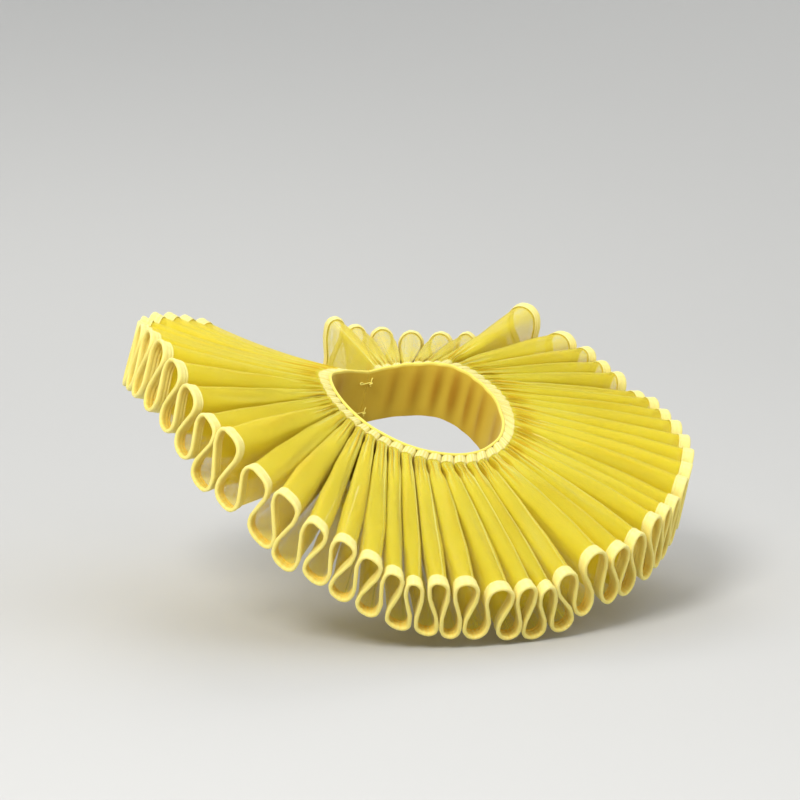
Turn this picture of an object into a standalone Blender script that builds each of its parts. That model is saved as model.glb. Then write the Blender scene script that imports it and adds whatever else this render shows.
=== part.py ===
"""Ruff collar: one long strip of stiff net laid in deep figure-of-eight folds, taped along
both long edges and sewn to an upright neckband that meets at the centre back.

Units are metres and degrees. The collar faces -Y, its wearer's left is +X, and a heading
turns from the front towards +X. The origin is the middle of the neck opening's top edge.
"""

from math import cos, pi, radians, sin

import bmesh
import bpy
import numpy as np

for old in list(bpy.data.objects):
    bpy.data.objects.remove(old, do_unlink=True)

# the strip, from the neck seam out to its finished edge
RUFF_DEPTH = 0.149
LOOP_HEIGHT = 0.0450        # outer edge, crest to trough, at mid wall
PLEAT_HEIGHT = 0.0424       # neck edge, crest to trough, at mid wall
FOLD_COUNT = 52
CLOTH_WIDTHS = 6            # lengths of net seamed end to end into the strip
SEAM_GAP = 0.0003

# walls and tapes
NET_WALL = 0.0012
EDGE_TAPE_WIDTH = 0.009
EDGE_TAPE_WALL = 0.0018
NECK_TAPE_WIDTH = 0.009
NECK_TAPE_WALL = 0.0016
NECK_TAPE_START = 0.0006    # clear of the band, measured out along the folds

# the neck opening and its band
NECK_HALF_WIDTH = 0.068
NECK_HALF_DEPTH = 0.058
NECK_LEAN = 20.0            # the neck tips forwards from upright
BAND_HEIGHT = 0.045
BAND_WALL = 0.0015
BAND_END_HEADING = 179.3    # its ends meet behind
BAND_STEPS = 60

# points along one fold
NET_STEPS = 12
NECK_TAPE_STEPS = 8
NET_SPANS = 2               # from the neck tape out to the edge tape

# a loop's widest swing past level in radians, and the spacings of its legs, as shares of
# its height, at which they are straight and at which the loop is fully round
WIDEST_SWING = 2.2
STRAIGHT_SHARE = 0.13
ROUND_SHARE = 0.28
PLEAT_SWELL = 0.20          # how far a neck pleat bulges over the slits, in leg spacings
NORMAL_STEP = 0.02          # turns on each side of a point, which give its normal

# height of the neck opening's top edge, the same on both sides: (heading, height)
NECK_RISE = (
    (0, -0.0356),
    (30, -0.0308),
    (60, -0.0178),
    (90, 0.0),
    (120, 0.0145),
    (150, 0.0160),
    (180, 0.0120),
)

# how the folds are shared out round the neck: (fold, heading of its seam)
NECK_SPACING = (
    (0.5, -172),
    (9, -118),
    (17, -65),
    (22, -26),
    (25, -1),
    (28, 25),
    (33, 60),
    (39, 93),
    (45, 127),
    (52.5, 174),
)

# how the folds lie as worn, from the right back round the front to the left back.
# heading and lift: which way a fold's ridge runs; lean: how far the trough before it
# is pushed on from half way, which tips the loop over
FOLD_CHART = (
    # fold, heading, lift, lean
    (1, -162.0, 11.0, 0.0),
    (2, -156.0, 12.5, 0.0),
    (3, -149.0, 14.0, 0.0),
    (4, -140.5, 15.0, 0.0),
    (5, -130.5, 15.0, 0.0),
    (6, -120.0, 15.0, 0.0),
    (7, -110.5, 15.5, 0.0),
    (8, -102.0, 15.5, -0.5),
    (9, -95.0, 14.5, -1.0),
    (10, -88.5, 11.5, 1.5),
    (11, -83.0, 7.0, 4.0),
    (12, -77.5, 1.5, 4.5),
    (13, -73.0, -1.5, 6.0),
    (14, -66.0, -8.0, 5.5),
    (15, -60.5, -13.5, 8.5),
    (16, -54.0, -18.0, 6.0),
    (17, -48.5, -21.0, 4.0),
    (18, -44.5, -24.0, 3.0),
    (19, -41.0, -27.0, 3.5),
    (20, -37.5, -29.0, 4.5),
    (21, -33.5, -27.5, 4.0),
    (22, -29.5, -27.0, 3.0),
    (23, -23.0, -28.5, 1.5),
    (24, -18.5, -28.0, 3.0),
    (25, -14.0, -29.0, 2.0),
    (26, -11.5, -25.5, 2.5),
    (27, -6.5, -21.0, 1.5),
    (28, 0.0, -22.0, 3.0),
    (29, 5.0, -20.5, 2.0),
    (30, 10.5, -18.0, 3.5),
    (31, 15.5, -18.0, 2.5),
    (32, 21.5, -18.0, 0.5),
    (33, 27.5, -15.0, -0.5),
    (34, 34.5, -14.0, 0.0),
    (35, 43.5, -13.0, 0.0),
    (36, 53.0, -12.0, 0.0),
    (37, 62.0, -10.5, 0.0),
    (38, 69.0, -9.5, 0.0),
    (39, 74.5, -8.0, 0.5),
    (40, 80.0, -8.0, 0.0),
    (41, 88.0, -4.0, 0.0),
    (42, 92.5, -2.0, 0.0),
    (43, 96.0, 1.0, 0.0),
    (44, 101.0, 4.0, 0.0),
    (45, 110.5, 9.0, -0.5),
    (46, 118.0, 1.5, 0.0),
    (47, 124.5, 1.5, 0.0),
    (48, 131.0, 1.5, 0.0),
    (49, 138.0, 2.0, 0.0),
    (50, 145.0, 3.5, 0.0),
    (51, 151.0, 5.0, 0.0),
    (52, 155.5, 6.5, 0.0),
)

# how far the cloth bows up between its two edges: (fold, height of the bow)
CLOTH_BOW = (
    (0.5, -0.004),
    (5, -0.004),
    (10, -0.002),
    (15, 0.0),
    (20, 0.001),
    (52.5, 0.001),
)

# loops that stand taller than the rest, and troughs, at half folds, that hang deeper:
# fold -> times the usual half height
TALL_LOOPS = {
    12.5: 1.3, 13: 1.2, 13.5: 1.1, 14.5: 1.35, 15: 1.15, 15.5: 1.3, 21.5: 1.1, 45: 1.3, 52: 1.2
}

NET_COLOUR = (0.76, 0.66, 0.11)
TAPE_COLOUR = (0.93, 0.84, 0.35)
BAND_COLOUR = (0.80, 0.58, 0.10)


def smooth_curve(knots, values, at):
    """A smooth curve through values at knots, read at the places given."""
    knots, values = np.asarray(knots, float), np.asarray(values, float)
    flat = values.reshape(len(knots), -1)
    slopes = np.gradient(flat, knots, axis=0)
    cell = np.clip(np.searchsorted(knots, at) - 1, 0, len(knots) - 2)
    width = (knots[cell + 1] - knots[cell])[:, None]
    f = np.clip((at - knots[cell])[:, None] / width, -0.5, 1.5)
    start, end = flat[cell], flat[cell + 1]
    curve = (
        (2 * f**3 - 3 * f**2 + 1) * start
        + (3 * f**2 - 2 * f**3) * end
        + (f**3 - 2 * f**2 + f) * width * slopes[cell]
        + (f**3 - f**2) * width * slopes[cell + 1]
    )
    return curve.reshape((len(at),) + values.shape[1:])


def unit(vectors):
    return vectors / np.linalg.norm(vectors, axis=-1, keepdims=True)


def ray(heading, lift):
    """Unit vectors that point out at a heading, lifted above level."""
    heading, lift = np.radians(heading), np.radians(lift)
    flat = np.cos(lift)
    return np.stack([flat * np.sin(heading), -flat * np.cos(heading), np.sin(lift)], -1)


def eased(points):
    """Points averaged with two neighbours on each side, which takes out the leaning."""
    first = 2 * points[0] - points[2:0:-1]
    last = 2 * points[-1] - points[-2:-4:-1]
    longer = np.concatenate([first, points, last])
    return sum(longer[i : i + len(points)] for i in range(5)) / 5


NECK_UP = np.array([0.0, -sin(radians(NECK_LEAN)), cos(radians(NECK_LEAN))])


def neck_ring(heading, inset=0.0):
    """Points half way up the neckband, inset towards the neck."""
    rise = np.array(NECK_RISE)
    both = np.concatenate([rise[:0:-1] * (-1, 1), rise])
    turn = np.radians(heading)
    top = np.stack(
        [
            (NECK_HALF_WIDTH - inset) * np.sin(turn),
            -(NECK_HALF_DEPTH - inset) * np.cos(turn),
            smooth_curve(both[:, 0], both[:, 1], np.asarray(heading, float)),
        ],
        -1,
    )
    return top - NECK_UP * PLEAT_HEIGHT / 2


def swing_leg(spacing, height, shares):
    """Half a loop of a springy edge: (run along, drop) at shares of its turning.

    The edge turns as a sine of the length along it, which is how a bent strip lies. Its
    swing past upright is found from the spacing and the height by halving.
    """
    along = np.linspace(0.0, 1.0, 65)
    low, high = 0.1, WIDEST_SWING
    while high - low > 1e-4:
        swing = (low + high) / 2
        turn = swing * np.sin(pi * along)
        if np.trapz(np.cos(turn)) * height > np.trapz(np.sin(turn)) * spacing:
            low = swing
        else:
            high = swing
    turn = swing * np.sin(pi * along)
    steps = np.stack([np.cos(turn), np.sin(turn)], -1)
    path = np.concatenate([[[0, 0]], np.cumsum((steps[1:] + steps[:-1]) / 2, axis=0)])
    path *= height / path[-1, 1]
    quarter = np.arcsin(np.minimum(2 * np.minimum(shares, 1 - shares), 1)) / pi
    length = np.where(shares < 0.5, quarter, 1 - quarter)
    run = np.interp(length, along, path[:, 0])
    drop = np.interp(length, along, path[:, 1]) / height
    return run + (spacing - path[-1, 0]) * drop, drop


def pleat_leg(spacing, height, shares):
    """Half a pleat at the neck: a quarter turn, a straight wall and a quarter turn."""
    radius = spacing / 2
    first = np.clip(shares * 3, 0, 1) * pi / 2
    last = np.clip(shares * 3 - 2, 0, 1) * pi / 2
    wall = np.clip(shares * 3 - 1, 0, 1) * (height - 2 * radius)
    run = radius * (np.sin(first) + 1 - np.cos(last))
    drop = radius * (1 - np.cos(first) + np.sin(last)) + wall
    return run, drop / height


# turns of the cloth, trough and crest by turn, from the trough before the first fold to
# the trough after the last one
TURNS = np.arange(2 * FOLD_COUNT + 1)
SIDE = np.where(TURNS % 2 == 1, 1.0, -1.0)
SEAM_HEADING = smooth_curve(*zip(*NECK_SPACING), TURNS / 2 + 0.5)

chart = np.array(FOLD_CHART)[:, 1:]
crests = chart[:, :2]
outer = np.concatenate([[2 * crests[0] - crests[1]], crests, [2 * crests[-1] - crests[-2]]])
troughs = (outer[1:] + outer[:-1]) / 2
troughs[:-1, 0] += chart[:, 2]
directions = np.empty((len(TURNS), 2))
directions[1::2], directions[0::2] = crests, troughs

RULINGS = ray(directions[:, 0], directions[:, 1])
EDGE = neck_ring(SEAM_HEADING) + RUFF_DEPTH * RULINGS
EDGE_LINE = eased(EDGE)
EDGE_LEAN = EDGE - EDGE_LINE
EDGE_RUN = np.concatenate([[0], np.cumsum(np.linalg.norm(np.diff(EDGE_LINE, axis=0), axis=1))])
EDGE_UP = unit(np.cross(eased(RULINGS), np.gradient(EDGE_LINE, EDGE_RUN, axis=0)))
EDGE_UP *= np.sign(EDGE_UP[:, 2:])
HALF_LOOP = LOOP_HEIGHT / 2 * np.array([TALL_LOOPS.get(turn / 2 + 0.5, 1.0) for turn in TURNS])
LOOP_HEIGHTS = HALF_LOOP[1:] + HALF_LOOP[:-1]
ROOM = (EDGE_RUN[3:] - EDGE_RUN[:-3]) / 3
ROOM = ROOM[[0, *range(len(ROOM)), -1]] / LOOP_HEIGHTS
FULLNESS = np.clip((ROOM - STRAIGHT_SHARE) / (ROUND_SHARE - STRAIGHT_SHARE), 0, 1)
NECK_RUN = np.concatenate(
    [[0], np.cumsum(np.linalg.norm(np.diff(neck_ring(SEAM_HEADING), axis=0), axis=1))]
)


def fold_edges(turn, shares):
    """Neck-edge and outer-edge points of the cloth between one turn and the next."""
    high, low = SIDE[turn] * HALF_LOOP[turn], SIDE[turn + 1] * HALF_LOOP[turn + 1]
    spacing = EDGE_RUN[turn + 1] - EDGE_RUN[turn]
    fullness = FULLNESS[turn]
    run, drop = fullness * np.array(swing_leg(spacing, LOOP_HEIGHTS[turn], shares)) + (
        1 - fullness
    ) * np.array(pleat_leg(spacing, LOOP_HEIGHTS[turn], shares))
    place = EDGE_RUN[turn] + run
    drop = drop[:, None]
    up = unit(smooth_curve(EDGE_RUN, EDGE_UP, place))
    edge = (
        smooth_curve(EDGE_RUN, EDGE_LINE, place)
        + up * (high + (low - high) * drop)
        + EDGE_LEAN[turn] * (1 - drop)
        + EDGE_LEAN[turn + 1] * drop
    )
    spacing = NECK_RUN[turn + 1] - NECK_RUN[turn]
    run, drop = pleat_leg(spacing, PLEAT_HEIGHT, shares)
    run += PLEAT_SWELL * spacing * np.sin(2 * pi * shares)
    heading = np.interp(NECK_RUN[turn] + run, NECK_RUN, SEAM_HEADING)
    climb = SIDE[turn] * PLEAT_HEIGHT * (0.5 - drop)
    neck = neck_ring(heading) + climb[:, None] * NECK_UP
    return neck, edge


def strip_edges(places):
    """Neck-edge and outer-edge points at places counted in turns."""
    places = np.clip(places, 0, TURNS[-1])
    turns = np.minimum(places.astype(int), TURNS[-2])
    legs = [fold_edges(turn, places[turns == turn] - turn) for turn in np.unique(turns)]
    return [np.concatenate(points) for points in zip(*legs)]


def folded_strip(first_turn, last_turn, steps, start, end, spans):
    """Rows of points between two distances out from the neck seam, and their normals."""
    places = np.linspace(first_turn, last_turn, round((last_turn - first_turn) * steps / 2) + 1)
    places[[0, -1]] += np.array([0.5, -0.5]) * SEAM_GAP / LOOP_HEIGHT
    neck, edge = strip_edges(places)
    neck_ahead, edge_ahead = strip_edges(places + NORMAL_STEP)
    neck_behind, edge_behind = strip_edges(places - NORMAL_STEP)
    bow = np.interp(places / 2 + 0.5, *zip(*CLOTH_BOW))[:, None] * 4
    up = smooth_curve(TURNS, EDGE_UP, places)
    rows, normals = [], []
    for share in np.linspace(start, end, spans + 1) / RUFF_DEPTH:
        along = (neck_ahead - neck_behind) * (1 - share) + (edge_ahead - edge_behind) * share
        rows.append(neck * (1 - share) + edge * share + up * bow * share * (1 - share))
        normals.append(unit(np.cross(along, edge - neck)))
    return np.array(rows), np.array(normals)


def cloth_material(name, colour, roughness):
    material = bpy.data.materials.new(name)
    material.use_nodes = True
    shader = material.node_tree.nodes["Principled BSDF"]
    shader.inputs["Base Color"].default_value = (*colour, 1)
    shader.inputs["Roughness"].default_value = roughness
    shader.inputs["Metallic"].default_value = 0.0
    material.diffuse_color = (*colour, 1)
    return material


def cloth_piece(name, rows, normals, wall, colour, roughness):
    """A closed cloth wall, half of it on each side of the rows of points."""
    middle = rows.reshape(-1, 3).mean(axis=0)
    body = bmesh.new()
    grids = []
    for side in (0.5, -0.5):
        points = rows + normals * wall * side - middle
        grid = [[body.verts.new(point) for point in row] for row in points]
        grids.append(grid)
        for near, far in zip(grid, grid[1:]):
            for a, b, c, d in zip(near, near[1:], far[1:], far):
                body.faces.new((a, b, c))
                body.faces.new((a, c, d))
    over, under = grids
    rims = [(over[0], under[0]), (over[-1], under[-1])]
    rims += [([row[end] for row in over], [row[end] for row in under]) for end in (0, -1)]
    for top, bottom in rims:
        for a, b, c, d in zip(top, top[1:], bottom[1:], bottom):
            body.faces.new((a, b, c, d))
    bmesh.ops.recalc_face_normals(body, faces=body.faces)
    mesh = bpy.data.meshes.new(name)
    body.to_mesh(mesh)
    body.free()
    mesh.shade_smooth()
    mesh.set_sharp_from_angle(angle=radians(50))
    mesh.materials.append(cloth_material(name, colour, roughness))
    piece = bpy.data.objects.new(name, mesh)
    piece.location = middle
    piece.parent = collar
    bpy.context.collection.objects.link(piece)


collar = bpy.data.objects.new("ruff_collar", None)
bpy.context.collection.objects.link(collar)

# the seams between widths hide half way down a leg, where the cloth runs straight
seams = np.round(np.linspace(0, 2 * FOLD_COUNT, CLOTH_WIDTHS + 1))
seams[1:-1] += 0.5
net_end = RUFF_DEPTH - EDGE_TAPE_WIDTH - SEAM_GAP
net_start = NECK_TAPE_WIDTH + 2 * SEAM_GAP
for number, ends in enumerate(zip(seams, seams[1:]), 1):
    net = folded_strip(*ends, NET_STEPS, net_start, net_end, NET_SPANS)
    cloth_piece(f"ruff_width_{number}", *net, NET_WALL, NET_COLOUR, 0.55)
    tape = folded_strip(*ends, NET_STEPS, RUFF_DEPTH - EDGE_TAPE_WIDTH, RUFF_DEPTH, 1)
    cloth_piece(f"edge_tape_{number}", *tape, EDGE_TAPE_WALL, TAPE_COLOUR, 0.6)
    tape = folded_strip(*ends, NECK_TAPE_STEPS, NECK_TAPE_START, NECK_TAPE_WIDTH, 1)
    cloth_piece(f"neck_tape_{number}", *tape, NECK_TAPE_WALL, TAPE_COLOUR, 0.6)

band_line = neck_ring(
    np.linspace(-BAND_END_HEADING, BAND_END_HEADING, BAND_STEPS + 1), SEAM_GAP + BAND_WALL / 2
)
band_rows = np.array([band_line + side * BAND_HEIGHT / 2 * NECK_UP for side in (-1, 1)])
band_normals = unit(np.cross(np.gradient(band_rows, axis=1), NECK_UP))
cloth_piece("neckband", band_rows, band_normals, BAND_WALL, BAND_COLOUR, 0.65)
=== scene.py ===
from math import cos, pi, radians, sin

import bmesh
import bpy
import numpy as np
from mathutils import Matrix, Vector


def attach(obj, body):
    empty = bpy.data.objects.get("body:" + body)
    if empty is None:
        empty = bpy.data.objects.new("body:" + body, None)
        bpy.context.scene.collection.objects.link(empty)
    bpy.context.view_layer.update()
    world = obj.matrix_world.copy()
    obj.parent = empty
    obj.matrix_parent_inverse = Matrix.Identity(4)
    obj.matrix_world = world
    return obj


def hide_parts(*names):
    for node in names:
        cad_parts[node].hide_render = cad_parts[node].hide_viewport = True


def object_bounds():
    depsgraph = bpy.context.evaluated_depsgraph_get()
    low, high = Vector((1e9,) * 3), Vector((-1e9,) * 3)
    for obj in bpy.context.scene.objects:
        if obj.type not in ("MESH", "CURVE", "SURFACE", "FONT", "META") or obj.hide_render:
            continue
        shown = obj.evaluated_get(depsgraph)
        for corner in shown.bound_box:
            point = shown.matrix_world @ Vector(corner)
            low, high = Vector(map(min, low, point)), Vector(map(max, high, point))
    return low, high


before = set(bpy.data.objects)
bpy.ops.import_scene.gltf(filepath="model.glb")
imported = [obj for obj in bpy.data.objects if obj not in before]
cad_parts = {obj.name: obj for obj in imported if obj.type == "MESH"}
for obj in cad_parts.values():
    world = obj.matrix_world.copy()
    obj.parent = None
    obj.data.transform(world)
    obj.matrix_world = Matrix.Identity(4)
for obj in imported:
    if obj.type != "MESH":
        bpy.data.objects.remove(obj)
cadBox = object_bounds()
print("packed model loaded")

# camera, floor and lights

studio = {
    "cameraPlace": (-1.199, -1.450, 0.264),
    "sensor": 36,
    "lens": 116.3,
    "shift": (-0.02175, -0.00438),
    "floorBelow": 0.002,        # the floor is just under the lowest loop
    "floorRadius": 1.5,
    "coveRadius": 3.2,          # a long easy sweep up, so that no horizon shows
    "coveHeight": 3.4,
    "floorRings": 8,
    "coveRings": 32,
    "floorSides": 96,
    "floorColour": (0.56, 0.56, 0.55),
    "worldColour": (0.98, 0.99, 1.0),
    "worldStrength": 0.96,
    "netBounces": 16,           # light gets through several layers of net
    "bounces": 4,
    "glossBounces": 1,
}
lamps = {                       # place, size, watts, colour
    "keyLamp": ((-1.9, -1.0, 1.8), 1.0, 54, (1.0, 0.98, 0.95)),
    "fillLamp": ((1.1, -2.5, 1.2), 1.6, 10, (0.97, 0.98, 1.0)),
    "backLamp": ((0.9, 1.8, 1.7), 1.2, 14, (1.0, 0.98, 0.95)),
}
scene = bpy.context.scene


def placeObject(name, data, place=(0, 0, 0)):
    thing = bpy.data.objects.new(name, data)
    thing.location = place
    scene.collection.objects.link(thing)
    return thing


def aimAtOrigin(thing):
    thing.rotation_euler = (-thing.location).to_track_quat("-Z", "Y").to_euler()


eye = placeObject("viewCamera", bpy.data.cameras.new("viewCamera"), studio["cameraPlace"])
eye.data.sensor_width = studio["sensor"]
eye.data.lens = studio["lens"]
eye.data.shift_x, eye.data.shift_y = studio["shift"]
aimAtOrigin(eye)
scene.camera = eye

for name, (place, size, watts, colour) in lamps.items():
    light = bpy.data.lights.new(name, "AREA")
    light.shape, light.size, light.energy, light.color = "DISK", size, watts, colour
    aimAtOrigin(placeObject(name, light, place))

scene.view_settings.view_transform = "Standard"     # dyes as they are, not as film greys them
scene.cycles.transparent_max_bounces = studio["netBounces"]
scene.cycles.max_bounces = scene.cycles.diffuse_bounces = studio["bounces"]
scene.cycles.glossy_bounces = studio["glossBounces"]
scene.world = bpy.data.worlds.new("studioAir")
scene.world.use_nodes = True
air = scene.world.node_tree.nodes["Background"]
air.inputs["Color"].default_value = (*studio["worldColour"], 1)
air.inputs["Strength"].default_value = studio["worldStrength"]


def roundFloor(height):
    # a floor that sweeps up all round, so no edge or corner shows from any side
    reach, sweep, steps = studio["floorRadius"], studio["coveRadius"], studio["floorRings"]
    quarter = np.linspace(0, pi / 2, studio["coveRings"] + 1)[1:]
    rise = [(reach * i / steps, 0.0) for i in range(1, steps + 1)]
    rise += [(reach + sweep * sin(a), sweep * (1 - cos(a))) for a in quarter]
    rise += [(reach + sweep, studio["coveHeight"])]
    body = bmesh.new()
    middle = body.verts.new((0, 0, height))
    angles = np.linspace(0, 2 * pi, studio["floorSides"] + 1)[:-1]
    rings = [[body.verts.new((r * cos(a), r * sin(a), height + z)) for a in angles] for r, z in rise]
    for i in range(len(angles)):
        j = (i + 1) % len(angles)
        body.faces.new((middle, rings[0][i], rings[0][j]))
        for near, far in zip(rings, rings[1:]):
            body.faces.new((near[i], far[i], far[j], near[j]))
    mesh = bpy.data.meshes.new("paleFloor")
    body.to_mesh(mesh)
    body.free()
    mesh.shade_smooth()
    paint = bpy.data.materials.new("floorPaint")
    paint.use_nodes = True
    matt = paint.node_tree.nodes.new("ShaderNodeBsdfDiffuse")
    matt.inputs["Color"].default_value = (*studio["floorColour"], 1)
    paint.node_tree.links.new(matt.outputs[0], paint.node_tree.nodes["Material Output"].inputs[0])
    mesh.materials.append(paint)
    floor = placeObject("paleFloor", mesh)


roundFloor(cadBox[0].z - studio["floorBelow"])
print("camera, floor and lights in place")

# the ruff's form: its solids' own, with the slits and pleat heads that only the cloth has

ruff = {
    "depth": 0.149,             # neck seam to finished edge
    "loopHeight": 0.0450,       # outer edge, crest to trough
    "pleatHeight": 0.0424,      # neck edge, crest to trough
    "folds": 52,
    "widths": 6,                # lengths of net in the strip
    "seamGap": -0.0001,         # sewn ends just lap
    "crowding": 0.7,            # how much closer the columns stand round a turn
    "leastSwing": 0.1,          # radians down from level at the middle of a leg, at least and at most
    "widestSwing": 2.2,
    "swingSlack": 1e-4,         # how closely that swing is found
    "legSteps": 64,
    "straightShare": 0.13,      # spacing over height at which a leg is straight
    "roundShare": 0.28,         # and at which a loop is fully round
    "normalStep": 0.02,         # turns to each side over which a normal is taken
    "creasePast": 0.15,         # turns past each crest and trough at which the net is pressed to a line, drawn closer and painted as a pale highlight line
}
slits = {                       # the gaps between one fold and the next
    "middle": 0.0185,           # distance out at which the pleats part again
    "half": 0.0100,             # half an opening's length, and the least and most shares of it
    "halfUneven": (0.6, 1.2),
    "uneven": 0.0025,           # how far its middle varies
    "seed": 11,
    "measuredAt": (0.10, 0.15, 0.20, 0.25, 0.30, 0.35, 0.40),   # shares of a fold's side
}
headShape = {                   # the taped heads of the pleats
    "slantReach": 0.0095,       # distance out at which their slant has died away
    "riseReach": 0.02,          # and at which their uneven height has
    "uneven": 0.00035,
}
closing = (                     # distance out, share of the gap filled, least gap left, most swing
    (0.0095, 1.0, 0.00125, 0.004), (0.0115, 1.0, 0.0008, 0.004), (0.045, 1.0, 0.0008, 0.004),
    (0.080, 1.0, 0.0008, 0.0022), (0.105, 1.0, 0.0008, 0.0022), (0.138, 0.0, 0.0008, 0.0022),
)
parting = (                     # fold, how far its slit opens under the neck tape
    (0.5, 0.5), (12, 0.35), (20, 0.4), (24, 0.8), (33, 1.1), (38, 0.7), (52.5, 0.5),
)
pressed = (                     # fold, how plain the pressed lines beside its turns are, each painted as a pale highlight line
    (0.5, 0.4), (8, 0.2), (14, 0.25), (19, 0.8), (24, 1.0), (38, 1.0), (45, 0.7), (52.5, 0.6),
)
headLean = (                    # fold, sideways slant of its taped head
    (0.5, 0.0008), (6, 0.0020), (12, 0.0032), (20, 0.0034), (34, 0.0034), (40, 0.0015), (52.5, 0.0),
)
neck = {
    "halfWidth": 0.068,
    "halfDepth": 0.058,
    "lean": 20.0,
}
neckRise = (                    # heading, height of the opening's top edge
    (0, -0.0356), (30, -0.0308), (60, -0.0178), (90, 0.0), (120, 0.0145), (150, 0.0160),
    (180, 0.0120),
)
neckSpacing = (                 # fold, heading of its seam
    (0.5, -172), (9, -118), (17, -65), (22, -26), (25, -1), (28, 25), (33, 60), (39, 93),
    (45, 127), (52.5, 174),
)
foldChart = (                   # heading, lift, lean of each fold from right back to left back
    (-162, 11, 0), (-156, 12.5, 0), (-149, 14, 0), (-140.5, 15, 0),
    (-130.5, 15, 0), (-120, 15, 0), (-110.5, 15.5, 0), (-102, 15.5, -0.5),
    (-95, 14.5, -1), (-88.5, 11.5, 1.5), (-83, 7, 4), (-77.5, 1.5, 4.5),
    (-73, -1.5, 6), (-66, -8, 5.5), (-60.5, -13.5, 8.5), (-54, -18, 6),
    (-48.5, -21, 4), (-44.5, -24, 3), (-41, -27, 3.5), (-37.5, -29, 4.5),
    (-33.5, -27.5, 4), (-29.5, -27, 3), (-23, -28.5, 1.5), (-18.5, -28, 3),
    (-14, -29, 2), (-11.5, -25.5, 2.5), (-6.5, -21, 1.5), (0, -22, 3),
    (5, -20.5, 2), (10.5, -18, 3.5), (15.5, -18, 2.5), (21.5, -18, 0.5),
    (27.5, -15, -0.5), (34.5, -14, 0), (43.5, -13, 0), (53, -12, 0),
    (62, -10.5, 0), (69, -9.5, 0), (74.5, -8, 0.5), (80, -8, 0),
    (88, -4, 0), (92.5, -2, 0), (96, 1, 0), (101, 4, 0),
    (110.5, 9, -0.5), (118, 1.5, 0), (124.5, 1.5, 0), (131, 1.5, 0),
    (138, 2, 0), (145, 3.5, 0), (151, 5, 0), (155.5, 6.5, 0),
)
clothBow = (                    # fold, how far the cloth bows up between its edges
    (5, -0.004), (10, -0.002), (15, 0.0), (20, 0.001),
)
tallLoops = {                   # turns that stand out further, a trough half a fold on from its crest
    12.5: 1.3, 13: 1.2, 13.5: 1.1, 14.5: 1.35, 15: 1.15, 15.5: 1.3, 21.5: 1.1, 45: 1.3, 52: 1.2,
}


def smoothCurve(knots, values, at):
    # values at the places asked for, on a smooth curve through all the knots
    knots, values = np.asarray(knots, float), np.asarray(values, float)
    flat = values.reshape(len(knots), -1)
    slopes = np.gradient(flat, knots, axis=0)
    cell = np.clip(np.searchsorted(knots, at) - 1, 0, len(knots) - 2)
    width = (knots[cell + 1] - knots[cell])[:, None]
    f = np.clip((at - knots[cell])[:, None] / width, -0.5, 1.5)     # up to half a step past the ends
    curve = (
        (2 * f**3 - 3 * f**2 + 1) * flat[cell]
        + (3 * f**2 - 2 * f**3) * flat[cell + 1]
        + (f**3 - 2 * f**2 + f) * width * slopes[cell]
        + (f**3 - f**2) * width * slopes[cell + 1]
    )
    return curve.reshape((len(at),) + values.shape[1:])


def unit(vectors):
    return vectors / np.linalg.norm(vectors, axis=-1, keepdims=True)


def ray(heading, lift):
    # a direction: heading in degrees from the wearer's front, lift in degrees over level
    heading, lift = np.radians(heading), np.radians(lift)
    flat = np.cos(lift)
    return np.stack([flat * np.sin(heading), -flat * np.cos(heading), np.sin(lift)], -1)


def eased(points):
    # each point moved to the mean of five, with the ends carried on as they run
    first = 2 * points[0] - points[2:0:-1]
    last = 2 * points[-1] - points[-2:-4:-1]
    longer = np.concatenate([first, points, last])
    return sum(longer[i : i + len(points)] for i in range(5)) / 5


def runAlong(points):
    # distance along a line of points
    return np.concatenate([[0], np.cumsum(np.linalg.norm(np.diff(points, axis=0), axis=1))])


neckUp = np.array([0.0, -sin(radians(neck["lean"])), cos(radians(neck["lean"]))])


def neckRing(heading, inset=0.0):
    # points half way up the neckband, inset towards the neck
    rise = np.array(neckRise)
    both = np.concatenate([rise[:0:-1] * (-1, 1), rise])
    turn = np.radians(heading)
    top = np.stack([
        (neck["halfWidth"] - inset) * np.sin(turn),
        -(neck["halfDepth"] - inset) * np.cos(turn),
        smoothCurve(both[:, 0], both[:, 1], np.asarray(heading, float)),
    ], -1)
    return top - neckUp * ruff["pleatHeight"] / 2


def swingLeg(spacing, height, shares):
    # half a loop of a springy edge, which turns as a sine of the length along it
    along = np.linspace(0.0, 1.0, ruff["legSteps"] + 1)
    low, high = ruff["leastSwing"], ruff["widestSwing"]
    while high - low > ruff["swingSlack"]:
        swing = (low + high) / 2
        turn = swing * np.sin(pi * along)
        if np.trapz(np.cos(turn)) * height > np.trapz(np.sin(turn)) * spacing:
            low = swing
        else:
            high = swing
    turn = swing * np.sin(pi * along)
    steps = np.stack([np.cos(turn), np.sin(turn)], -1)
    path = np.concatenate([[[0, 0]], np.cumsum((steps[1:] + steps[:-1]) / 2, axis=0)])
    path *= height / path[-1, 1]
    quarter = np.arcsin(np.minimum(2 * np.minimum(shares, 1 - shares), 1)) / pi
    length = np.where(shares < 0.5, quarter, 1 - quarter)
    run = np.interp(length, along, path[:, 0])
    drop = np.interp(length, along, path[:, 1]) / height
    return run + (spacing - path[-1, 0]) * drop, drop


def pleatLeg(spacing, height, shares):
    # half a pleat at the neck: a quarter turn, a straight wall and a quarter turn
    radius = spacing / 2
    first = np.clip(shares * 3, 0, 1) * pi / 2
    last = np.clip(shares * 3 - 2, 0, 1) * pi / 2
    wall = np.clip(shares * 3 - 1, 0, 1) * (height - 2 * radius)
    run = radius * (np.sin(first) + 1 - np.cos(last))
    drop = radius * (1 - np.cos(first) + np.sin(last)) + wall
    return run, drop / height


turns = np.arange(2 * ruff["folds"] + 1)            # trough and crest by turn
side = np.where(turns % 2 == 1, 1.0, -1.0)
seamHeading = smoothCurve(*zip(*neckSpacing), turns / 2 + 0.5)

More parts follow.
